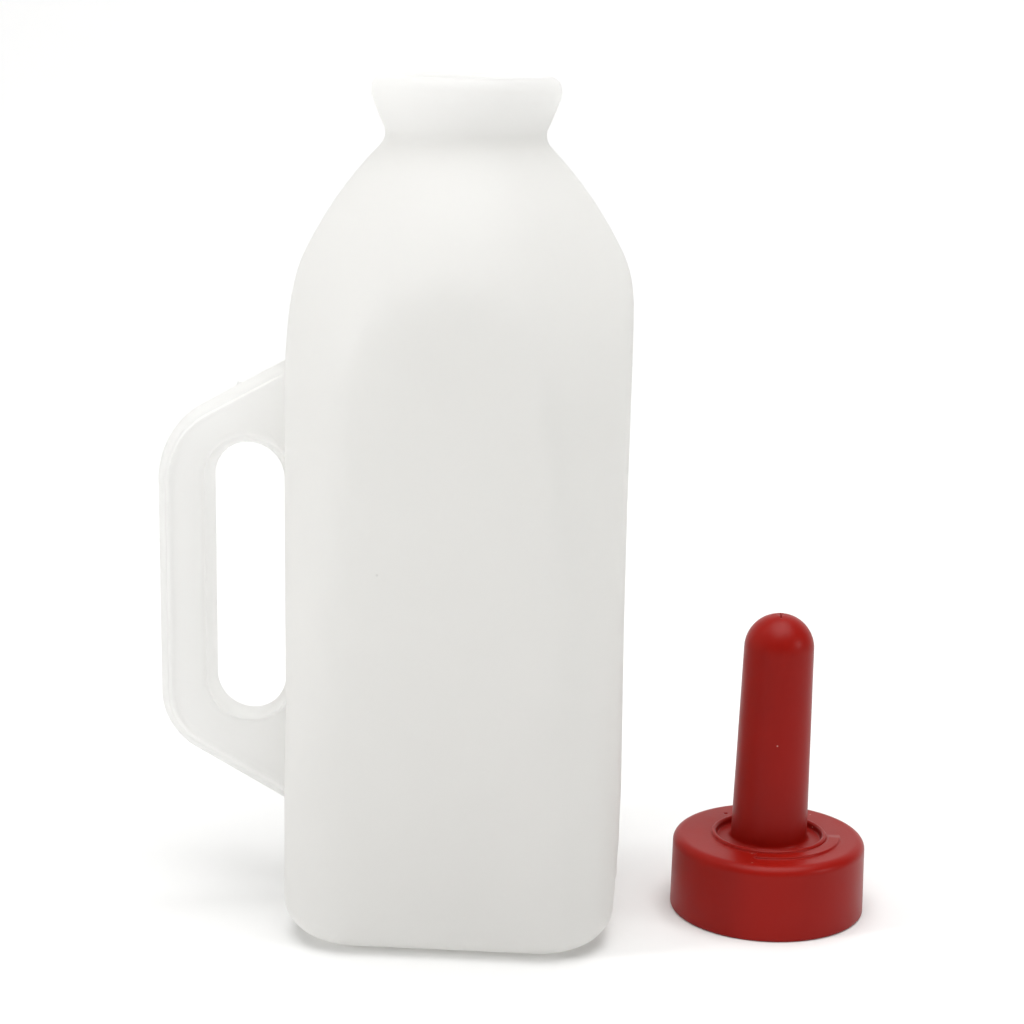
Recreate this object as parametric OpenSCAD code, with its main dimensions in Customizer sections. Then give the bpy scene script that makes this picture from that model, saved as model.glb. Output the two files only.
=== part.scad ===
/* [Bottle] */
// Height from the foot to the top of the mouth
bottle_h = 260; // [255:1:290]
// Width of the square body across its flats
body_w = 101; // [96:1:108]
// Radius of the upright corners of the body
corner_r = 22; // [18:1:26]
// Radius where the sides turn under to the base
base_r = 15; // [12:1:17]
// Wall thickness of the moulding
wall = 1.6; // [1.3:0.1:2]
// Height of the domed shoulder and the mouth together
shoulder_h = 110; // [107:1:112]
// Radius of the shoulder's curve, seen from the side
dome_r = 131; // [127:1:136]

/* [Mouth] */
// Outer radius of the rolled rim
rim_r = 28.3; // [27.8:0.1:29]
// Outer radius of the neck, at its narrowest
neck_r = 24; // [23.6:0.1:24.4]
// Radius of the throat that the milk runs through
throat_r = 21.9; // [21:0.1:22.1]
// Radius that the rim is rolled over to
lip_r = 3; // [2:0.5:3.5]

/* [Handle] */
// How far the handle stands out from the body
handle_reach = 44; // [40:0.5:52]
// Height of the handle's lower root on the body
handle_foot_z = 30; // [24:1:32]
// Height of the handle's upper root on the body
handle_top_z = 175.5; // [172:0.5:180]
// Slope of the handle's upper and lower edges
handle_slope = 29; // [26:1:32]
// Radius of the handle's upper outer corner
handle_high_r = 28; // [18:1:30]
// Radius of the handle's lower outer corner
handle_low_r = 21; // [14:1:28]
// Thickness of the handle at its raised edges
handle_t = 10; // [8:0.5:14]
// Thickness of the sunk web between the raised edges
web_t = 6; // [4:0.5:7]
// Width of the raised edge round the outside
edge_w = 3.8; // [3:0.1:5]
// Width of the raised edge round the finger slot
slot_edge_w = 3.3; // [2.5:0.1:4]
// Width of the finger slot
slot_w = 22; // [19:0.5:23]
// Height of the bottom of the finger slot
slot_low_z = 61.5; // [58:0.5:66]
// Height of the top of the finger slot
slot_high_z = 147.5; // [142:0.5:148]
// Gap between the finger slot and the body
slot_gap = 4; // [3.5:0.1:6]

/* [Nipple] */
// Distance to the nipple's axis, to the right of the bottle's axis
nipple_x = 98.6; // [92:0.2:130]
// Distance to the nipple's axis, behind the bottle's axis
nipple_y = 6.2; // [-20:0.2:20]
// Height of the pull-on cap
cap_h = 24; // [23:0.5:27]
// Outer radius of the cap at its foot
cap_r = 30.6; // [30.4:0.1:32]
// Radius of the cap's rounded top edge
cap_edge_r = 3; // [2:0.5:4]
// Radius inside the lip that grips under the rim
grip_r = 24.6; // [24:0.1:25.5]
// Radius of the raised ring round the teat's root
ring_r = 18.2; // [17:0.1:19]
// Outer radius of the teat at its root
teat_root_r = 12; // [11:0.1:12.5]
// Outer radius of the teat below its tip
teat_tip_r = 10.9; // [10:0.1:11]
// Height of the teat's tip above the floor
tip_z = 96.5; // [85:0.5:110]
// Wall thickness of the teat
teat_wall = 2.6; // [2:0.1:3.2]

/* [Hidden] */
$fn = 96;

body_half = body_w / 2;
base_wall = wall + 0.4;                             // the base is a little thicker than the sides
corner_reach = (body_half - corner_r) * sqrt(2) + corner_r;
neck_z = bottle_h - 16.4;                           // the narrowest level of the neck
neck_cut_z = neck_z - 5.6;                          // where the body node ends and the neck node starts
shoulder_z = bottle_h - shoulder_h;                 // where the shoulder's curve starts
shave_z = shoulder_z - 40;                          // the body's corners draw in from here up
foot_of_neck_r = neck_r + 2.75;                     // the shoulder's radius where the neck node starts
dome_start_r = foot_of_neck_r + dome_r - sqrt(pow(dome_r, 2) - pow(neck_cut_z - shoulder_z, 2));
rim_band_h = 2;                                     // height of the rim's short straight band
rim_band_z = bottle_h - lip_r - rim_band_h;         // foot of that band
throat_h = 4;                                       // straight stretch of the throat
mouth_r = rim_r - lip_r - 1.8;                      // opening at the top of the mouth

handle_out_x = -(body_half + handle_reach);
slot_r = slot_w / 2;
slot_x = -(body_half + slot_gap + slot_r);

cap_top_r = cap_r - 0.3;                            // the skirt drafts in by this much
plate_t = 4;                                        // thickness of the cap's top
socket_r = rim_r + 0.05;                            // the socket that the rim sits in
groove_depth = 1.2;                                 // sunk ring between the raised ring and the teat
ring_w = 1.6;
ring_h = 0.8;
pad_r = 22.5;                                       // outer radius of the blank raised pad
pad_h = 0.45;
pad_start = -103;                                   // the pad's square end, at the front of the cap
pad_turn = 108;                                     // how far round the pad runs, in degrees
vent_r = 0.6;
vent_place = [-13.3, 17.6];                         // the vent hole, from the nipple's axis
root_gap = 1.6;                                     // room for the teat to bend in its hole
root_z = cap_h - plate_t + 0.3;
groove_floor_z = cap_h - groove_depth;
hole_r = teat_root_r + root_gap;
slit_w = 0.4;                                       // width of each cut in the teat's tip
slit_length = 6;

// Points of an arc about a centre, from one angle to another
function arc(centre, r, from, to, steps) =
    [for (i = [0:steps]) centre + r * [cos(from + (to - from) * i / steps), sin(from + (to - from) * i / steps)]];

// Radius of the shoulder at a height, for a surface set in by an inset
function dome_radius(z, inset) =
    dome_start_r - dome_r + sqrt(pow(dome_r - inset, 2) - pow(z - shoulder_z, 2));

// A bar along Y with its lower edges rounded
module base_bar(inset, floor_z, top_z) {
    half = body_half - inset;
    r = base_r - inset;
    rotate([90, 0, 0])
        linear_extrude(2 * half, center = true)
            union() {
                translate([-half, floor_z + r]) square([2 * half, top_z - floor_z - r]);
                translate([-half + r, floor_z]) square([2 * (half - r), r + 1]);
                for (side = [-1, 1]) translate([side * (half - r), floor_z + r]) circle(r);
            }
}

// The upright square column with round corners
module column(inset, floor_z, top_z) {
    half = body_half - inset;
    r = corner_r - inset;
    translate([0, 0, floor_z])
        linear_extrude(top_z - floor_z)
            union() {
                square([2 * half, 2 * (half - r)], center = true);
                square([2 * (half - r), 2 * half], center = true);
                for (sx = [-1, 1], sy = [-1, 1]) translate([sx * (half - r), sy * (half - r)]) circle(r);
            }
}

// The body's form, rounded under and domed over; the cavity is the same form set in by the wall
module body_form(inset, floor_z, top_z) {
    dome_steps = 14;
    dome_points = [for (i = [0:dome_steps])
        let (z = shoulder_z + (top_z - shoulder_z) * i / dome_steps) [dome_radius(z, inset), z]];
    outside_r = corner_reach + 5;
    shave_r = max(corner_reach, dome_start_r) + 0.2 - inset;
    intersection() {
        column(inset, floor_z, top_z);
        base_bar(inset, floor_z, top_z);
        rotate([0, 0, 90]) base_bar(inset, floor_z, top_z);
        rotate_extrude()
            polygon(concat(
                [[0, -1], [outside_r, -1], [outside_r, shave_z], [shave_r, shave_z]],
                dome_points,
                [[0, top_z]]));
    }
}

// The bottle from its base to the foot of the neck
module bottle_body() {
    color("#ededea")
        difference() {
            body_form(0, 0, neck_cut_z);
            body_form(wall, base_wall, neck_cut_z + 1);
        }
}

// The neck, its flare and the rolled rim, down to the top of the shoulder
module bottle_neck() {
    flare_foot = [neck_r + 0.2, neck_z + 1];
    outside = concat(
        [[dome_radius(neck_cut_z, 0), neck_cut_z], [dome_radius(neck_cut_z + 2.2, 0), neck_cut_z + 2.2]],
        [[neck_r + 0.2, neck_z - 2.2], [neck_r, neck_z - 0.6], [neck_r, neck_z], flare_foot],
        [[rim_r - 0.9, rim_band_z - 4], [rim_r - 0.2, rim_band_z - 1.4], [rim_r, rim_band_z]],
        arc([rim_r - lip_r, rim_band_z + rim_band_h], lip_r, 0, 90, 6));
    inside = [
        [mouth_r + 1, rim_band_z + rim_band_h + lip_r],
        [mouth_r, rim_band_z + rim_band_h + lip_r - 1],
        [throat_r, neck_z + throat_h],
        [throat_r, neck_z],
        [dome_radius(neck_cut_z, wall), neck_cut_z]];
    color("#efefec")
        rotate_extrude() polygon(concat(outside, inside));
}

// How far the centre of an outer corner of the handle lies below or above the handle's root
function corner_drop(r) = (handle_reach - r) * tan(handle_slope) + r / cos(handle_slope);

// Outline of the handle in the plane of the mould's parting line, set in by an inset
module handle_outline(inset) {
    high_r = handle_high_r - inset;
    low_r = handle_low_r - inset;
    high = [handle_out_x + handle_high_r, handle_top_z - corner_drop(handle_high_r)];
    low = [handle_out_x + handle_low_r, handle_foot_z + corner_drop(handle_low_r)];
    lean = [-sin(handle_slope), cos(handle_slope)];
    drop = inset / cos(handle_slope);
    intersection() {
        translate([handle_out_x - 1, 0]) square([handle_reach + 1, bottle_h]);
        union() {
            polygon([
                [-body_half, handle_top_z - drop],
                high + high_r * lean,
                high,
                high - [high_r, 0],
                low - [low_r, 0],
                low,
                low + low_r * [lean[0], -lean[1]],
                [-body_half, handle_foot_z + drop]]);
            translate(high) circle(high_r);
            translate(low) circle(low_r);
        }
    }
}

// The finger slot's outline, grown by the width of its raised edge where that is asked for
module slot_outline(grow) {
    r = slot_r + grow;
    low = slot_low_z + slot_r;
    high = slot_high_z - slot_r;
    translate([slot_x - r, low]) square([2 * r, high - low]);
    translate([slot_x, low]) circle(r);
    translate([slot_x, high]) circle(r);
}

// The loop handle: a sunk web between a raised outer edge and a raised edge round the slot
module handle() {
    sink = (handle_t - web_t) / 2;
    color("#e9e9e5")
        difference() {
            rotate([90, 0, 0]) linear_extrude(handle_t, center = true) handle_outline(0);
            rotate([90, 0, 0]) linear_extrude(handle_t + 2, center = true) slot_outline(0);
            for (side = [-1, 1])
                translate([0, side * (handle_t - sink + 1) / 2, 0])
                    rotate([90, 0, 0])
                        linear_extrude(sink + 1, center = true)
                            difference() {
                                handle_outline(edge_w);
                                slot_outline(slot_edge_w);
                                translate([slot_x, slot_low_z + slot_r])
                                    square([-slot_x, slot_high_z - slot_low_z - slot_w]);
                            }
        }
}

// The pull-on cap of the nipple, with the socket for the bottle's rim under it
module nipple_cap() {
    socket_top_z = cap_h - plate_t;
    foot_round = 0.8;
    lip_h = 3;
    outside = concat(
        [[cap_r - foot_round, 0], [cap_r, foot_round]],
        arc([cap_top_r - cap_edge_r, cap_h - cap_edge_r], cap_edge_r, 0, 90, 6));
    top = [
        [ring_r, cap_h],
        [ring_r - 0.3, cap_h + ring_h],
        [ring_r - ring_w + 0.3, cap_h + ring_h],
        [ring_r - ring_w, groove_floor_z],
        [hole_r, groove_floor_z]];
    inside = [
        [hole_r, socket_top_z],
        [socket_r - 1, socket_top_z],
        [socket_r, socket_top_z - 1],
        [socket_r, socket_top_z - 5],
        [grip_r, lip_h + 1.5],
        [grip_r, 1],
        [grip_r + 1, 0]];
    color("#a52a25")
        translate([nipple_x, nipple_y, 0])
            difference() {
                union() {
                    rotate_extrude() polygon(concat(outside, top, inside));
                    rotate([0, 0, pad_start])
                        rotate_extrude(angle = pad_turn)
                            translate([ring_r + 0.4, cap_h - 1]) square([pad_r - ring_r - 0.4, 1 + pad_h]);
                }
                translate([vent_place[0], vent_place[1], socket_top_z - 1])
                    cylinder(h = plate_t + 2, r = vent_r, $fn = 24);
            }
}

// The hollow teat, with a cross cut through its tip
module teat() {
    tip_centre = [0, tip_z - teat_tip_r];
    inner_r = teat_tip_r - teat_wall;
    inner_centre = [0, tip_centre[1] - 1];
    color("#a52a25")
        translate([nipple_x, nipple_y, 0])
            difference() {
                rotate_extrude()
                    polygon(concat(
                        [[teat_root_r - teat_wall, root_z], [teat_root_r, root_z]],
                        arc(tip_centre, teat_tip_r, 0, 90, 9),
                        arc(inner_centre, inner_r, 90, 0, 9)));
                for (turn = [45, 135])
                    translate([0, 0, tip_z - 2])
                        rotate([0, 0, turn]) cube([slit_length, slit_w, 8], center = true);
            }
}

bottle_body();
bottle_neck();
handle();
nipple_cap();
teat();
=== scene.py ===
import math
import bpy
import numpy as np
from mathutils import Matrix, Vector


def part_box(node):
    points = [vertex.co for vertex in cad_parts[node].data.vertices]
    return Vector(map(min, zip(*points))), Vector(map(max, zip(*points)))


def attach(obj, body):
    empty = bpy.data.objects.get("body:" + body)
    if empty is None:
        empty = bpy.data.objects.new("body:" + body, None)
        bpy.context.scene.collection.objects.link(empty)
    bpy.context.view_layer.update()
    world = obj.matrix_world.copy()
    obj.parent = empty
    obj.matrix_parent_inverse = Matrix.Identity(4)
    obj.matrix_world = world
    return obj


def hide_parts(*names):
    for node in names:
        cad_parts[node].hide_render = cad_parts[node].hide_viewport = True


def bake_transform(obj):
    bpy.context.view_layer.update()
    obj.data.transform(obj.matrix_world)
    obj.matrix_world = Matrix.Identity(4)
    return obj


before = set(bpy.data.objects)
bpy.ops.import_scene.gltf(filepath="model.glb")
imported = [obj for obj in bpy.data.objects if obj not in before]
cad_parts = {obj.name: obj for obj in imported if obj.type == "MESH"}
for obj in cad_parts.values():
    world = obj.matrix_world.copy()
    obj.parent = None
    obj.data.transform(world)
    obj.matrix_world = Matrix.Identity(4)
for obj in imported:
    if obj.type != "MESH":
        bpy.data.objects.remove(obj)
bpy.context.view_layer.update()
print("frame loaded")

mm = 0.001
scene = bpy.context.scene


# ---- camera, light and floor

cameraLook = {
    "place": (0.0660, -0.7022, 0.2863),
    "turn": math.radians(4.108),       # to the left of straight on
    "tilt": math.radians(12.697),      # down
    "roll": math.radians(0.922),
    "lens": 82.30,
}


def makeCamera(c):
    sinT, cosT = math.sin(c["turn"]), math.cos(c["turn"])
    sinP, cosP = math.sin(c["tilt"]), math.cos(c["tilt"])
    ahead = Vector((-sinT * cosP, cosT * cosP, -sinP))
    right = Vector((cosT, sinT, 0))
    up = right.cross(ahead)
    rolledRight = right * math.cos(c["roll"]) + up * math.sin(c["roll"])
    rolledUp = up * math.cos(c["roll"]) - right * math.sin(c["roll"])
    turned = Matrix((rolledRight, rolledUp, -ahead)).transposed().to_4x4()
    camera = bpy.data.objects.new("camera", bpy.data.cameras.new("camera"))
    camera.matrix_world = Matrix.Translation(c["place"]) @ turned
    camera.data.lens = c["lens"]
    camera.data.sensor_width = 36
    camera.data.clip_start = 0.01
    scene.collection.objects.link(camera)
    scene.camera = camera


makeCamera(cameraLook)
scene.view_settings.view_transform = "Standard"


def hexLinear(code, alpha=1.0):
    parts = [int(code[i:i + 2], 16) / 255 for i in (1, 3, 5)]
    return tuple(p / 12.92 if p <= 0.04045 else ((p + 0.055) / 1.055) ** 2.4 for p in parts) + (alpha,)


# Adds a node, sets its properties and unlinked inputs, and links the inputs given as sockets;
# i0, i1 and so on name an input by its number
def addNode(tree, kind, properties=None, **inputs):
    made = tree.nodes.new(kind)
    for key, value in (properties or {}).items():
        setattr(made, key, value)
    for key, value in inputs.items():
        byNumber = key[0] == "i" and key[1:].isdigit()
        socket = made.inputs[int(key[1:]) if byNumber else key.replace("_", " ")]
        if isinstance(value, bpy.types.NodeSocket):
            tree.links.new(value, socket)
        else:
            socket.default_value = value
    return made


def newMaterial(name):
    material = bpy.data.materials.new(name)
    material.use_nodes = True
    material.node_tree.nodes.clear()
    return material, material.node_tree


studio = {
    "worldStrength": 0.16,
    "paperColour": "#ebebea",
    "paperGlow": 0.5,                 # painted light: the paper glows of itself, in place of lamps on the backdrop, and more so towards the back
    "coveStart": 1.5, "coveR": 0.8, "wallTop": 2.6,
    "lamps": {                         # size, power and place of each soft box
        "topBox": (1.4, 27.0, (0.10, -0.20, 1.50)),
        "leftBox": (0.20, 6.0, (-1.05, -0.55, 0.45)),
        "rightBox": (0.20, 2.4, (1.20, -0.45, 0.45)),
    },
}


def makeStudio(s):
    world = bpy.data.worlds.new("studioWorld")
    world.use_nodes = True
    background = world.node_tree.nodes["Background"]
    background.inputs["Color"].default_value = hexLinear("#ffffff")
    background.inputs["Strength"].default_value = s["worldStrength"]
    scene.world = world
    for name, (size, power, place) in s["lamps"].items():
        light = bpy.data.lights.new(name, "AREA")
        light.size = size
        light.energy = power
        lamp = bpy.data.objects.new(name, light)
        aim = Vector((0.02, 0, 0.12)) - Vector(place)
        lamp.matrix_world = Matrix.Translation(place) @ aim.to_track_quat("-Z", "Y").to_matrix().to_4x4()
        scene.collection.objects.link(lamp)

    # a paper sweep: flat, then up in a cove to a wall
    bend = np.radians(np.linspace(0, 90, 13))
    y = np.concatenate([[-3.0], s["coveStart"] + s["coveR"] * np.sin(bend), [s["coveStart"] + s["coveR"]]])
    z = np.concatenate([[0], s["coveR"] * (1 - np.cos(bend)), [s["wallTop"]]])
    points = [(x, float(a), float(b)) for a, b in zip(y, z) for x in (-3.5, 3.5)]
    faces = [(2 * i, 2 * i + 1, 2 * i + 3, 2 * i + 2) for i in range(len(y) - 1)]
    mesh = bpy.data.meshes.new("paperSweep")
    mesh.from_pydata(points, [], faces)
    mesh.shade_smooth()
    sweep = bpy.data.objects.new("paperSweep", mesh)
    material, tree = newMaterial("backdropPaper")
    place = addNode(tree, "ShaderNodeTexCoord").outputs["Object"]
    axes = addNode(tree, "ShaderNodeSeparateXYZ", Vector=place)
    # painted light: the paper's own glow, none at the front and rising to paperGlow over the cove and wall
    glow = addNode(tree, "ShaderNodeMapRange", Value=axes.outputs["Y"], From_Min=-0.1, From_Max=1.6,
                   To_Min=0.0, To_Max=s["paperGlow"])
    shader = addNode(tree, "ShaderNodeBsdfPrincipled", Base_Color=hexLinear(s["paperColour"]), Roughness=0.9,
                     Emission_Color=hexLinear("#ffffff"), Emission_Strength=glow.outputs[0])
    addNode(tree, "ShaderNodeOutputMaterial", Surface=shader.outputs[0])
    mesh.materials.append(material)
    scene.collection.objects.link(sweep)


makeStudio(studio)
print("camera, light and floor made")


# ---- shared helpers

def smoothStep(low, high, x):
    t = np.clip((x - low) / (high - low), 0, 1)
    return t * t * (3 - 2 * t)


# The lesser of two lengths, with the crease between them rounded over a width
def softMin(a, b, width):
    near = np.maximum(width - np.abs(a - b), 0) / width
    return np.minimum(a, b) - near * near * width / 4


# Points (r, z) along an arc about a centre, from one angle to another in degrees
def arcPoints(centre, r, start, end, steps):
    t = np.radians(np.linspace(start, end, steps + 1))
    return np.stack([centre[0] + r * np.cos(t), centre[1] + r * np.sin(t)], axis=1)


# Rounds the corners of a profile by cutting them again and again; both ends stay
def rounded(points, rounds):
    points = np.asarray(points, float)
    for _ in range(rounds):
        near = points[:-1] * 0.75 + points[1:] * 0.25
        far = points[:-1] * 0.25 + points[1:] * 0.75
        between = np.stack([near, far], axis=1).reshape(-1, 2)
        points = np.concatenate([points[:1], between[1:-1], points[-1:]])
    return points


# Adds points between the corners of a profile so that no step is longer than a limit
def subdivided(points, longest):
    points = np.asarray(points, float)
    pieces = []
    for a, b in zip(points[:-1], points[1:]):
        count = max(1, int(math.ceil(np.linalg.norm(b - a) / longest)))
        pieces.append(a + (b - a) * np.linspace(0, 1, count, endpoint=False)[:, None])
    return np.concatenate(pieces + [points[-1:]])


# Turns a grid of points (rows, columns, 3) into a mesh; columns close round, and rows close
# either round as well or with a single point at each end
def gridMesh(name, grid, rowsClose=False, flip=False):
    rows, columns, _ = grid.shape
    index = np.arange(rows * columns).reshape(rows, columns)
    nextColumn = np.roll(index, -1, axis=1)
    if rowsClose:
        below = np.roll(index, -1, axis=0)
        quads = np.stack([index, nextColumn, np.roll(nextColumn, -1, axis=0), below], axis=-1).reshape(-1, 4)
    else:
        quads = np.stack([index[:-1], nextColumn[:-1], nextColumn[1:], index[1:]], axis=-1).reshape(-1, 4)
    if flip:
        quads = quads[:, ::-1]
    points = grid.reshape(-1, 3)
    faces = quads.tolist()
    if not rowsClose:
        first, last = len(points), len(points) + 1
        points = np.concatenate([points, grid[0].mean(0, keepdims=True), grid[-1].mean(0, keepdims=True)])
        capA = np.stack([np.roll(index[0], -1), index[0], np.full(columns, first)], axis=-1)
        capB = np.stack([index[-1], np.roll(index[-1], -1), np.full(columns, last)], axis=-1)
        if flip:
            capA, capB = capA[:, ::-1], capB[:, ::-1]
        faces = faces + capA.tolist() + capB.tolist()
    mesh = bpy.data.meshes.new(name)
    mesh.from_pydata(points.tolist(), [], faces)
    mesh.shade_smooth()
    made = bpy.data.objects.new(name, mesh)
    scene.collection.objects.link(made)
    return made


# ---- bottle moulding: body, shoulder, neck and rolled rim in one shell

bodyLow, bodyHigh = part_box("bottle_body")
neckLow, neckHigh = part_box("bottle_neck")
bottle = {
    "half": bodyHigh.x,                # half the width across the flats
    "height": neckHigh.z,
    "cornerR": 22 * mm,
    "baseR": 12 * mm,
    "wall": 1.6 * mm,
    "baseWall": 2.0 * mm,
    "dish": 1.6 * mm,                  # how far the base is pushed up
    "shoulderZ": 158 * mm,
    "domeR": 115 * mm,
    "domeStart": 58.9 * mm,
    "crease": 3.0 * mm,                # width of the soft crease where the dome meets the flats
    "throatR": 21.9 * mm,
    "lipR": 4.0 * mm,
    "neckProfile": ((25.9, -21.3), (24.9, -20.2), (24.15, -18.6), (24.0, -17.0), (24.25, -15.6),
                    (25.2, -13.6), (26.55, -10.6), (27.5, -7.9), (28.15, -6.2), (28.3, -4.6)),
    # how far the two sides stand out from the flat, at heights up the body: the left one is drawn in
    # beside the handle
    "sideZ": (0, 20, 29, 47, 80, 120, 140, 172, 192, 205, 220),
    "leftOut": (0.2, 0.4, 0.2, 0.2, -0.6, -0.9, -0.5, 0.5, 0.7, 0.4, 0.1),
    "rightOut": (0.1, 0.2, 0.5, 0.3, 0.0, 0.1, 0.3, 0.5, 0.7, 0.3, 0.2),
    "seam": 0.22 * mm,                 # height of the mould's parting line
    "around": 264,
}


# Distance from the axis to a square with round corners, along each direction
def squareRadius(half, corner, angle):
    c, s = np.abs(np.cos(angle)), np.abs(np.sin(angle))
    straight = half / np.maximum(np.maximum(c, s), 1e-9)
    core = half - corner
    along = core * (c + s)
    cornerReach = along + np.sqrt(np.maximum(along * along - 2 * core * core + corner * corner, 0))
    inCorner = (straight * c > core) & (straight * s > core)
    return np.where(inCorner, cornerReach, straight)


# Radius of the dome of the shoulder at each height
def domeRadius(b, z, inset):
    rise = np.maximum(z - b["shoulderZ"], 0)
    fall = np.maximum(b["shoulderZ"] - z, 0)
    return b["domeStart"] - b["domeR"] + np.sqrt((b["domeR"] - inset) ** 2 - rise ** 2) + fall * 0.09


# Rings of the body between the base's rounding and the neck, for a skin set in by an inset
def bodyRings(b, angle, levels, inset, floorZ):
    z = levels[:, None]
    baseR = b["baseR"] - inset
    t = np.clip((floorZ + baseR - z) / baseR, 0, 1)
    under = baseR * (1 - np.sqrt(np.maximum(1 - t * t, 0)))       # how far the rounding under pulls in
    half = b["half"] - 0.1 * mm - inset - under
    corner = np.maximum(b["cornerR"] - inset - under * 0.8, 6 * mm)
    square = squareRadius(half, corner, angle[None, :])
    radius = softMin(square, domeRadius(b, z, inset) + 0 * square, b["crease"])
    x, y = radius * np.cos(angle), radius * np.sin(angle)
    out = [np.interp(z, np.array(b["sideZ"]) * mm, np.array(b[side]) * mm)
           for side in ("leftOut", "rightOut")]
    x = x * (1 + np.where(x < 0, out[0], out[1]) / b["half"])
    return np.stack([x, y, z + 0 * radius], axis=-1)


# Rings that run flat from the axis out to a given ring
def floorRings(ring, shares, lift):
    flat = ring[None, :, :] * shares[:, None, None]
    flat[..., 2] = ring[None, :, 2] + lift[:, None]
    return flat


def makeBottle(b):
    even = np.linspace(0, 2 * np.pi, b["around"], endpoint=False)
    extra = np.array([-0.016, -0.010, -0.006, 0.006, 0.010, 0.016])
    angle = np.unique(np.round(np.concatenate([even, extra % (2 * np.pi), np.pi + extra]), 6))
    roundBase = b["baseR"] * (1 - np.cos(np.radians(np.linspace(4, 90, 16))))
    sideLevels = np.linspace(b["baseR"] + 3 * mm, 160 * mm, 40)
    domeTop = b["height"] - 22.2 * mm
    domeLevels = np.linspace(162 * mm, domeTop, 56)
    outerLevels = np.concatenate([roundBase, sideLevels, domeLevels])
    outer = bodyRings(b, angle, outerLevels, 0, 0)
    shares = np.array([0.06, 0.15, 0.3, 0.45, 0.6, 0.72, 0.80, 0.86, 0.90, 0.94, 0.97])
    lift = b["dish"] * (1 - smoothStep(0.72, 0.90, shares)) - outer[0, 0, 2]
    base = floorRings(outer[0], shares, lift)

    # neck, flare, rolled rim, throat and the inside of the neck, as one profile
    h, lip = b["height"], b["lipR"]
    rimR = b["neckProfile"][-1][0] * mm
    mouthR = rimR - lip - 1.6 * mm
    profile = np.concatenate([
        rounded(np.array(b["neckProfile"]) * mm + [0, h], 2),
        arcPoints((rimR - lip, h - lip), lip, 0, 90, 14)[1:],
        arcPoints((rimR - lip, h - 1.6 * mm), 1.6 * mm, 104, 180, 8),
        rounded([[mouthR - 0.05 * mm, h - 2.4 * mm], [mouthR - 0.2 * mm, h - 3.6 * mm],
                 [b["throatR"], h - 11 * mm], [b["throatR"], h - 17.4 * mm],
                 [b["throatR"] + 0.6 * mm, h - 19.2 * mm]], 2),
    ])
    neck = np.stack([
        profile[:, :1] * np.cos(angle), profile[:, :1] * np.sin(angle),
        profile[:, 1:] + 0 * angle], axis=-1)

    innerTop = h - 21.0 * mm
    innerLevels = np.concatenate([
        np.linspace(innerTop, 162 * mm, 40),
        np.linspace(155 * mm, b["baseR"] + 4 * mm, 24),
        b["baseWall"] + (b["baseR"] - b["wall"]) * (1 - np.cos(np.radians(np.linspace(88, 6, 12))))])
    inner = bodyRings(b, angle, innerLevels, b["wall"], b["baseWall"])
    innerBase = floorRings(inner[-1], shares[::-1], (b["dish"] * (1 - smoothStep(0.72, 0.90, shares)))[::-1])

    # the parting line stands proud on both sides, over the rim's edge and across the base
    lipTop = int(np.argmax(profile[:, 1]))
    outside = np.concatenate([base, outer, neck[:lipTop]])
    nearSeam = np.exp(-(outside[..., 1] / (0.35 * mm)) ** 2)
    side = np.sign(outside[..., 0])
    onSide = smoothStep(8 * mm, 20 * mm, np.abs(outside[..., 0]))
    outside[..., 0] += side * nearSeam * onSide * b["seam"]
    outside[:len(base), :, 2] -= (nearSeam * b["seam"] * 1.5)[:len(base)]

    # slow waviness of blow-moulded walls, well under a millimetre
    wave = 0.10 * mm * (np.sin(outside[..., 2] / (31 * mm) + 1.3) * np.sin(3 * angle + 0.7)
                        + 0.7 * np.sin(outside[..., 2] / (17 * mm)) * np.sin(5 * angle + 2.1))
    height = outside[..., 2]
    wave *= smoothStep(10 * mm, 30 * mm, height) * (1 - smoothStep(190 * mm, 230 * mm, height))
    outside[..., 0] += wave * np.cos(angle)
    outside[..., 1] += wave * np.sin(angle)

    grid = np.concatenate([outside, neck[lipTop:], inner, innerBase])
    made = gridMesh("bottleMoulding", grid)
    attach(made, "bottle")
    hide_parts("bottle_body", "bottle_neck")
    return made


# ---- loop handle, part of the same moulding

handleLow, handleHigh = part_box("handle")
handle = {
    "outX": handleLow.x,
    "bodyX": bodyLow.x,
    "rootX": bodyLow.x + 0.9 * mm,     # the loop ends inside the body's wall
    "halfThick": handleHigh.y,
    "halfWeb": 3.3 * mm,
    "footZ": handleLow.z,
    "topZ": handleHigh.z,
    "slope": math.radians(29),
    "highR": 28 * mm,                  # the upper and the lower outer corner
    "lowR": 21 * mm,
    "slotR": 11 * mm,
    "slotX": bodyLow.x - 15.5 * mm,
    "slotLow": 61.5 * mm,
    "slotHigh": 147.5 * mm,
    "edgeWidth": 3.8 * mm,
    "slotEdge": 3.3 * mm,
    "edgeFall": 0.9 * mm,              # width of the step from a raised edge down to the web
    "edgeRound": 2.7 * mm,             # how far in from the parting line each raised edge is rounded
    "slotRound": 2.3 * mm,
    "seamHalf": 0.35 * mm,
    "fillet": 3.0 * mm,                # where the loop runs into the body
    "seam": 0.15 * mm,
    "nubX": -69.3 * mm,                # a nub of flash on the upper edge
    "nubHeight": 1.3 * mm,
}


# Centre of an outer corner of the handle; sign is 1 for the upper one and -1 for the lower one
def handleCorner(h, sign):
    r, root = (h["highR"], h["topZ"]) if sign > 0 else (h["lowR"], h["footZ"])
    x = h["outX"] + r
    drop = (h["bodyX"] - x) * math.tan(h["slope"]) + r / math.cos(h["slope"])
    return r, x, root - sign * drop


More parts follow.
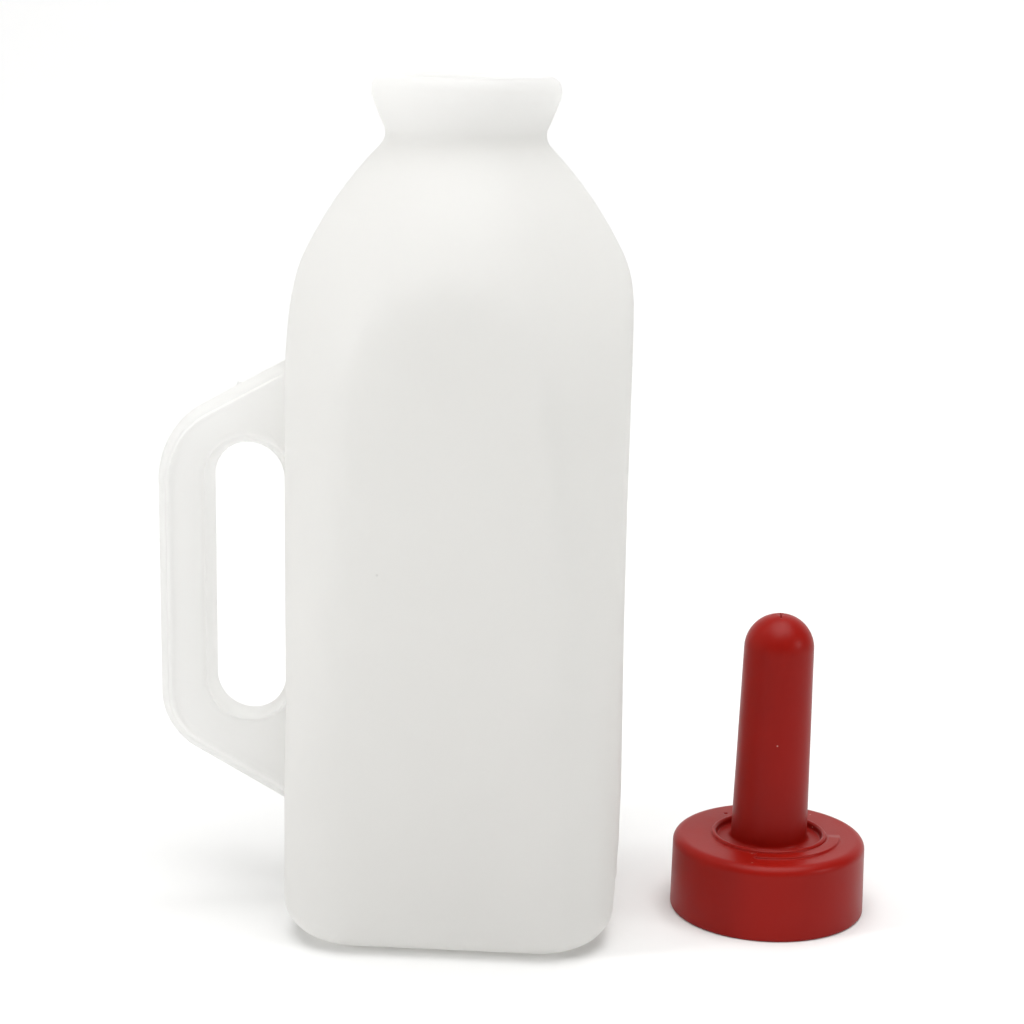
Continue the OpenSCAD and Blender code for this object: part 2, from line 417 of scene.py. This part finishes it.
# Edge points of the loop's outline, set in by an inset, going round once
def handleOutline(h, inset):
    slopeDegrees = math.degrees(h["slope"])
    drop = inset / math.cos(h["slope"])
    extra = (h["rootX"] - inset - h["bodyX"]) * math.tan(h["slope"])
    highR, highX, highZ = handleCorner(h, 1)
    lowR, lowX, lowZ = handleCorner(h, -1)
    return np.concatenate([
        [[h["rootX"] - inset, h["footZ"] + drop - extra]],
        [[h["rootX"] - inset, h["topZ"] - drop + extra]],
        arcPoints((highX, highZ), highR - inset, 90 + slopeDegrees, 180, 60),
        arcPoints((lowX, lowZ), lowR - inset, 180, 270 - slopeDegrees, 60)])


# How far a ray from inside a convex outline goes before it leaves it
def rayLength(outline, start, direction):
    edge = np.roll(outline, -1, axis=0) - outline
    normal = np.stack([edge[:, 1], -edge[:, 0]], axis=1)
    gap = ((outline[None] - start[:, None]) * normal[None]).sum(-1)
    speed = direction @ normal.T
    with np.errstate(divide="ignore", invalid="ignore"):
        reach = np.where(speed > 1e-12, gap / speed, np.inf)
    return reach.min(1)


def makeHandle(h):
    # the slot's edge and its outward directions, going round
    low, high = h["slotLow"] + h["slotR"], h["slotHigh"] - h["slotR"]
    straight = np.linspace(0, 1, 56, endpoint=False)
    bend = np.radians(np.linspace(0, 180, 90, endpoint=False))
    centre = np.concatenate([
        np.stack([0 * straight + h["slotX"], low + (high - low) * straight], 1),
        np.stack([0 * bend + h["slotX"], 0 * bend + high], 1),
        np.stack([0 * straight + h["slotX"], high - (high - low) * straight], 1),
        np.stack([0 * bend + h["slotX"], 0 * bend + low], 1)])
    turn = np.concatenate([0 * straight, bend, 0 * straight + np.pi, bend + np.pi])
    out = np.stack([np.cos(turn), np.sin(turn)], 1)
    slotEdge = centre + out * h["slotR"]

    rounding = 1 - np.cos(np.radians([0, 12, 24, 37, 50, 63, 76, 90]))
    slotStep = h["slotEdge"] - h["edgeFall"] * np.array([1, 0.5, 0])
    outStep = h["edgeWidth"] - h["edgeFall"] * np.array([1, 0.67, 0.33, 0])
    slotRows = np.concatenate([rounding * h["slotRound"], slotStep])
    outRows = np.concatenate([rounding * h["edgeRound"], outStep])
    total = rayLength(handleOutline(h, 0), slotEdge, out)
    inner = slotRows[:, None] + 0 * total
    outer = np.stack([rayLength(handleOutline(h, e), slotEdge, out) for e in outRows[::-1]])
    room = np.clip(0.96 * total / (inner[-1] + total - outer[0]), 0, 1)
    inner = inner * room
    outer = total - (total - outer) * room
    web = inner[-1] + (outer[0] - inner[-1]) * np.linspace(0, 1, 8)[1:-1, None]
    reach = np.concatenate([inner, web, outer])
    place = slotEdge[None] + out[None] * reach[..., None]
    x, z = place[..., 0], place[..., 1]

    # distance in from the true outer edges, from the slot and from the body
    cosS, sinS = math.cos(h["slope"]), math.sin(h["slope"])
    upper = (h["topZ"] - z) * cosS - (h["bodyX"] - x) * sinS
    lower = (z - h["footZ"]) * cosS - (h["bodyX"] - x) * sinS
    fromLine = np.minimum(np.minimum(upper, lower), x - h["outX"])
    for sign in (1, -1):
        r, cornerX, cornerZ = handleCorner(h, sign)
        dx, dz = cornerX - x, (z - cornerZ) * sign
        inCorner = (dx > 0) & (dz > 0) & (np.arctan2(dz, dx) < math.pi / 2 - h["slope"])
        fromLine = np.where(inCorner, r - np.hypot(dx, dz), fromLine)
    fromSlot = reach
    fromBody = np.maximum(h["bodyX"] - x, 0)

    top, webHalf = h["halfThick"], h["halfWeb"]
    edgeBead = 1 - smoothStep(h["edgeWidth"] - h["edgeFall"], h["edgeWidth"], fromLine)
    slotBead = 1 - smoothStep(h["slotEdge"] - h["edgeFall"], h["slotEdge"], fromSlot)
    thick = webHalf + (top - webHalf) * np.maximum(edgeBead, slotBead)
    for distance, reachIn in ((fromLine, h["edgeRound"]), (fromSlot, h["slotRound"])):
        share = 1 - np.clip(distance / reachIn, 0, 1)
        edgeThick = h["seamHalf"] + (top - h["seamHalf"]) * np.sqrt(np.maximum(1 - share ** 2, 0))
        thick = np.minimum(thick, edgeThick)
    f = h["fillet"]
    inFillet = np.clip(fromBody, 0, f)
    thick = thick + f - np.sqrt(np.maximum(f * f - (f - inFillet) ** 2, 0))

    front = np.stack([x, -thick, z], axis=-1)
    # the parting line round the middle of the outer edge and the slot
    seamOut = front[-1] * [1, 0, 1] + np.stack([out[:, 0], 0 * turn, out[:, 1]], 1) * h["seam"]
    nub = np.exp(-((front[-1][:, 0] - h["nubX"]) / (0.45 * mm)) ** 2) * h["nubHeight"]
    nub *= front[-1][:, 2] > 120 * mm
    seamOut += np.stack([-sinS * nub, 0 * nub, cosS * nub], 1)
    seamIn = front[0] * [1, 0, 1] - np.stack([out[:, 0], 0 * turn, out[:, 1]], 1) * h["seam"] * 0.6
    grid = np.concatenate([seamIn[None], front, seamOut[None], front[::-1] * [1, -1, 1]])

    made = gridMesh("handleLoop", grid, rowsClose=True)
    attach(made, "bottle")
    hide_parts("handle")
    return made


# ---- nipple: pull-on cap and teat, one rubber moulding

capLow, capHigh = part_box("nipple_cap")
teatLow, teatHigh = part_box("teat")
nipple = {
    "x": (capLow.x + capHigh.x) / 2,
    "y": (capLow.y + capHigh.y) / 2,
    "capR": (capHigh.x - capLow.x) / 2,
    "capTop": 24.0 * mm,
    "draft": 0.3 * mm,
    "edgeR": 3.0 * mm,
    "tipZ": teatHigh.z,
    "rootR": 12.0 * mm,
    "tipR": 10.9 * mm,
    "teatWall": 2.6 * mm,
    "ringR": 18.2 * mm,
    "ringWidth": 1.6 * mm,
    "ringHeight": 1.0 * mm,
    "groove": 1.2 * mm,
    "webThick": 1.5 * mm,              # the thin web at the bottom of the groove, where the teat flexes
    "plate": 4.0 * mm,
    "socketR": 28.35 * mm,
    "gripR": 24.6 * mm,
    "padR": 22.5 * mm,
    "padHeight": 0.6 * mm,
    "padStart": -103, "padEnd": 6,
    "vent": (-13.3 * mm, 17.6 * mm), "ventR": 0.7 * mm,
    "slitLength": 6 * mm, "slitWidth": 0.4 * mm,
    "lean": math.tan(math.radians(0.75)),      # the soft teat doesn't stand quite upright
    "around": 288,
}


# Cuts a piece with closed shapes, keeps the result as its mesh, and deletes the shapes
def cutWith(piece, cutters):
    for cutter in cutters:
        cut = piece.modifiers.new("cut", "BOOLEAN")
        cut.operation = "DIFFERENCE"
        cut.solver = "EXACT"
        cut.object = cutter
    bpy.context.view_layer.update()
    graph = bpy.context.evaluated_depsgraph_get()
    result = bpy.data.meshes.new_from_object(piece.evaluated_get(graph))
    piece.modifiers.clear()
    piece.data = result
    for cutter in cutters:
        bpy.data.objects.remove(cutter)


# A closed upright prism with a given number of sides; four sides make a box
def uprightPrism(name, centre, halfX, halfY, low, high, sides):
    t = (np.arange(sides) + 0.5) * 2 * np.pi / sides
    reach = 1 / np.cos(np.pi / sides)
    x, y = centre[0] + reach * halfX * np.cos(t), centre[1] + reach * halfY * np.sin(t)
    rings = [np.stack([x, y, 0 * t + z], 1) for z in (low, high)]
    return gridMesh(name, np.stack(rings))


def makeNipple(n):
    angle = np.linspace(0, 2 * np.pi, n["around"], endpoint=False)
    top, er = n["capTop"], n["edgeR"]
    capTopR = n["capR"] - n["draft"]
    floorZ = top - n["groove"]
    ringIn = n["ringR"] - n["ringWidth"]
    tipCentre = (0, n["tipZ"] - n["tipR"])
    innerTipR = n["tipR"] - n["teatWall"]
    fillet = 1.4 * mm
    half = n["ringWidth"] / 2
    ringMid = n["ringR"] - half
    footR = n["capR"]
    underZ = floorZ - n["webThick"]
    plateZ = top - n["plate"]
    profile = np.concatenate([
        arcPoints((footR - 0.9 * mm, 0.9 * mm), 0.9 * mm, -90, 0, 5),
        subdivided([[footR, 1.6 * mm], [capTopR, top - er - 0.4 * mm]], 1.4 * mm),
        arcPoints((capTopR - er, top - er), er, 0, 90, 9),
        subdivided([[capTopR - er - 0.6 * mm, top], [n["padR"] + 0.5 * mm, top]], 0.8 * mm),
        subdivided([[n["padR"] + 0.2 * mm, top], [n["padR"] - 0.2 * mm, top]], 0.1 * mm),
        subdivided([[n["padR"] - 0.6 * mm, top], [n["ringR"] + 0.5 * mm, top]], 0.7 * mm),
        [[n["ringR"] + 0.15 * mm, top]],
        np.array([ringMid, top + 0.02 * mm])
        + np.array([half, n["ringHeight"]]) * arcPoints((0, 0), 1, 8, 172, 8),
        [[ringIn - 0.05 * mm, top - 0.3 * mm], [ringIn - 0.1 * mm, floorZ + 0.25 * mm],
         [ringIn - 0.4 * mm, floorZ]],
        subdivided([[ringIn - 0.9 * mm, floorZ], [n["rootR"] + fillet + 0.3 * mm, floorZ]], 0.6 * mm),
        arcPoints((n["rootR"] + fillet, floorZ + fillet), fillet, 270, 180, 6),
        subdivided([[n["rootR"] - 0.02 * mm, floorZ + fillet + 0.6 * mm],
                    [n["tipR"], tipCentre[1] - 0.6 * mm]], 1.6 * mm),
        arcPoints(tipCentre, n["tipR"], 0, 87, 16),
    ])
    inside = np.concatenate([
        arcPoints((0, tipCentre[1] - 1 * mm), innerTipR, 86, 0, 10),
        subdivided([[innerTipR + 0.02 * mm, tipCentre[1] - 2 * mm],
                    [n["rootR"] - n["teatWall"], underZ + 1.2 * mm]], 2.4 * mm),
        arcPoints((n["rootR"] - n["teatWall"] + 1.2 * mm, underZ + 1.2 * mm), 1.2 * mm, 180, 270, 4),
        subdivided([[n["rootR"] + 0.5 * mm, underZ], [ringIn + 0.6 * mm, underZ]], 1.2 * mm),
        [[ringIn + 1.2 * mm, plateZ + 0.3 * mm], [ringIn + 1.9 * mm, plateZ]],
        subdivided([[ringIn + 2.6 * mm, plateZ], [n["socketR"] - 1.2 * mm, plateZ]], 1.2 * mm),
        arcPoints((n["socketR"] - 1 * mm, plateZ - 1 * mm), 1 * mm, 90, 0, 4),
        subdivided([[n["socketR"], plateZ - 1.6 * mm], [n["socketR"], plateZ - 5 * mm],
                    [n["gripR"] + 0.3 * mm, 4.9 * mm]], 1.2 * mm),
        arcPoints((n["gripR"] + 0.8 * mm, 3.6 * mm), 0.8 * mm, 150, 190, 3),
        subdivided([[n["gripR"], 2.9 * mm], [n["gripR"], 1.3 * mm], [n["gripR"] + 1 * mm, 0.1 * mm],
                    [n["gripR"] + 1.4 * mm, 0.0]], 0.8 * mm),
        subdivided([[n["gripR"] + 2 * mm, 0.0], [footR - 1.4 * mm, 0.0]], 0.8 * mm),
    ])
    # outside from the foot up to the tip, then the inside from the tip down: a closed ring of rows
    capRows = np.concatenate([profile, inside])
    r, z = capRows[:, :1], capRows[:, 1:]
    # the blank raised pad, from a square end at the front round to the right
    degrees = (np.degrees(angle) + 180) % 360 - 180
    ends = (smoothStep(n["padStart"] - 0.6, n["padStart"] + 0.6, degrees)
            * (1 - smoothStep(n["padEnd"] - 14, n["padEnd"], degrees)))
    across = (smoothStep(n["ringR"] + 0.1 * mm, n["ringR"] + 0.5 * mm, r)
              * (1 - smoothStep(n["padR"] - 0.18 * mm, n["padR"] + 0.18 * mm, r)))
    onTop = (np.arange(len(capRows))[:, None] < len(profile)) & (z > top - 0.05 * mm) & (z < top + 0.9 * mm)
    z = z + n["padHeight"] * ends * across * onTop
    lean = n["lean"] * np.maximum(z - floorZ, 0) * (r < ringIn)
    grid = np.stack([n["x"] + r * np.cos(angle) + lean, n["y"] + r * np.sin(angle), z + 0 * angle], axis=-1)
    made = gridMesh("rubberNipple", grid, rowsClose=True)

    # the vent through the cap and the cross slit through the teat's tip
    tip = (n["x"] + n["lean"] * (n["tipZ"] - floorZ), n["y"])
    slitFoot, slitTop = n["tipZ"] - n["teatWall"] - 1.5 * mm, n["tipZ"] + 1 * mm
    vent = (n["x"] + n["vent"][0], n["y"] + n["vent"][1])
    cutWith(made, [
        uprightPrism("ventCut", vent, n["ventR"], n["ventR"], plateZ - 1 * mm, top + 2 * mm, 20),
        uprightPrism("slitCutX", tip, n["slitLength"] / 2, n["slitWidth"] / 2, slitFoot, slitTop, 4),
        uprightPrism("slitCutY", tip, n["slitWidth"] / 2, n["slitLength"] / 2, slitFoot, slitTop, 4)])
    return made


bottlePiece = makeBottle(bottle)
print("bottle moulding made")
handlePiece = makeHandle(handle)
print("handle made")
nipplePiece = makeNipple(nipple)
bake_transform(nipplePiece)
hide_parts("nipple_cap", "teat")
print("nipple made")


# ---- materials

# High-density polyethylene, unpigmented and blow-moulded against a blasted mould: the thin wall lets light
# through and scatters it, so lit and shaded sides come out nearly even, with a soft waxy gloss
def makePolyethylene():
    material, tree = newMaterial("blowMouldedPolyethylene")
    place = addNode(tree, "ShaderNodeTexCoord").outputs["Object"]
    clouds = addNode(tree, "ShaderNodeTexNoise", Vector=place, Scale=14.0, Detail=3.0)
    colour = addNode(tree, "ShaderNodeMix", {"data_type": "RGBA"}, Factor=clouds.outputs["Fac"])
    colour.inputs[6].default_value = hexLinear("#f7f6f5")
    colour.inputs[7].default_value = hexLinear("#f4f3f2")
    # one burnt speck in the front wall, 0.8 mm across
    away = addNode(tree, "ShaderNodeVectorMath", {"operation": "DISTANCE"}, i0=place,
                   i1=(-0.0197, -0.0502, 0.119))
    burnt = addNode(tree, "ShaderNodeMapRange", Value=away.outputs["Value"], From_Min=0.0003, From_Max=0.0005,
                    To_Min=0.5, To_Max=0.0)
    spotted = addNode(tree, "ShaderNodeMix", {"data_type": "RGBA"}, Factor=burnt.outputs[0], i6=colour.outputs[2],
                      i7=hexLinear("#5a564c"))
    skin = addNode(tree, "ShaderNodeTexNoise", Vector=place, Scale=900.0, Detail=2.0)
    bump = addNode(tree, "ShaderNodeBump", Height=skin.outputs["Fac"], Strength=0.15, Distance=0.0001)
    rough = addNode(tree, "ShaderNodeMapRange", Value=clouds.outputs["Fac"], From_Min=0.3, From_Max=0.7,
                    To_Min=0.44, To_Max=0.54)
    shader = addNode(tree, "ShaderNodeBsdfPrincipled", Base_Color=spotted.outputs[2], Roughness=rough.outputs[0],
                     IOR=1.54, Normal=bump.outputs[0])
    through = addNode(tree, "ShaderNodeBsdfTranslucent", Color=hexLinear("#fafaf9"), Normal=bump.outputs[0])
    mixed = addNode(tree, "ShaderNodeMixShader", Fac=0.74, i1=shader.outputs[0], i2=through.outputs[0])
    addNode(tree, "ShaderNodeOutputMaterial", Surface=mixed.outputs[0])
    return material


# Natural rubber, pigmented red and compression-moulded in a polished mould: opaque, so its shading is
# stronger than the bottle's, with a satin skin and pale specks of moulding dust. The specular level is well
# under the usual one, so that the white floor's reflection doesn't wash the red out
def makeRubber():
    material, tree = newMaterial("mouldedRedRubber")
    place = addNode(tree, "ShaderNodeTexCoord").outputs["Object"]
    clouds = addNode(tree, "ShaderNodeTexNoise", Vector=place, Scale=60.0, Detail=4.0)
    colour = addNode(tree, "ShaderNodeMix", {"data_type": "RGBA"}, Factor=clouds.outputs["Fac"])
    colour.inputs[6].default_value = hexLinear("#8b0f07")
    colour.inputs[7].default_value = hexLinear("#96140a")
    # pale dust: about one cell in eight, the cells about 7 mm apart, holds a speck half a millimetre across
    cells = addNode(tree, "ShaderNodeTexVoronoi", Vector=place, Scale=150.0)
    chosen = addNode(tree, "ShaderNodeSeparateColor", Color=cells.outputs["Color"])
    picked = addNode(tree, "ShaderNodeMath", {"operation": "GREATER_THAN"}, i0=chosen.outputs[0], i1=0.88)
    small = addNode(tree, "ShaderNodeMapRange", Value=cells.outputs["Distance"], From_Min=0.02, From_Max=0.05,
                    To_Min=0.7, To_Max=0.0)
    speck = addNode(tree, "ShaderNodeMath", {"operation": "MULTIPLY"}, i0=picked.outputs[0], i1=small.outputs[0])
    dusty = addNode(tree, "ShaderNodeMix", {"data_type": "RGBA"}, Factor=speck.outputs[0], i6=colour.outputs[2],
                    i7=hexLinear("#d8a89c"))
    skin = addNode(tree, "ShaderNodeTexNoise", Vector=place, Scale=1600.0, Detail=2.0)
    bump = addNode(tree, "ShaderNodeBump", Height=skin.outputs["Fac"], Strength=0.25, Distance=0.0001)
    rough = addNode(tree, "ShaderNodeMapRange", Value=clouds.outputs["Fac"], From_Min=0.3, From_Max=0.7,
                    To_Min=0.34, To_Max=0.42)
    shader = addNode(tree, "ShaderNodeBsdfPrincipled", Base_Color=dusty.outputs[2], Roughness=rough.outputs[0],
                     IOR=1.52, Specular_IOR_Level=0.15, Normal=bump.outputs[0])
    addNode(tree, "ShaderNodeOutputMaterial", Surface=shader.outputs[0])
    return material


polyethylene = makePolyethylene()
rubber = makeRubber()
for piece in (bottlePiece, handlePiece):
    piece.data.materials.append(polyethylene)
nipplePiece.data.materials.append(rubber)
for nodeName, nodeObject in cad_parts.items():
    nodeObject.data.materials.clear()
    nodeObject.data.materials.append(rubber if nodeName in ("nipple_cap", "teat") else polyethylene)
print("materials made")
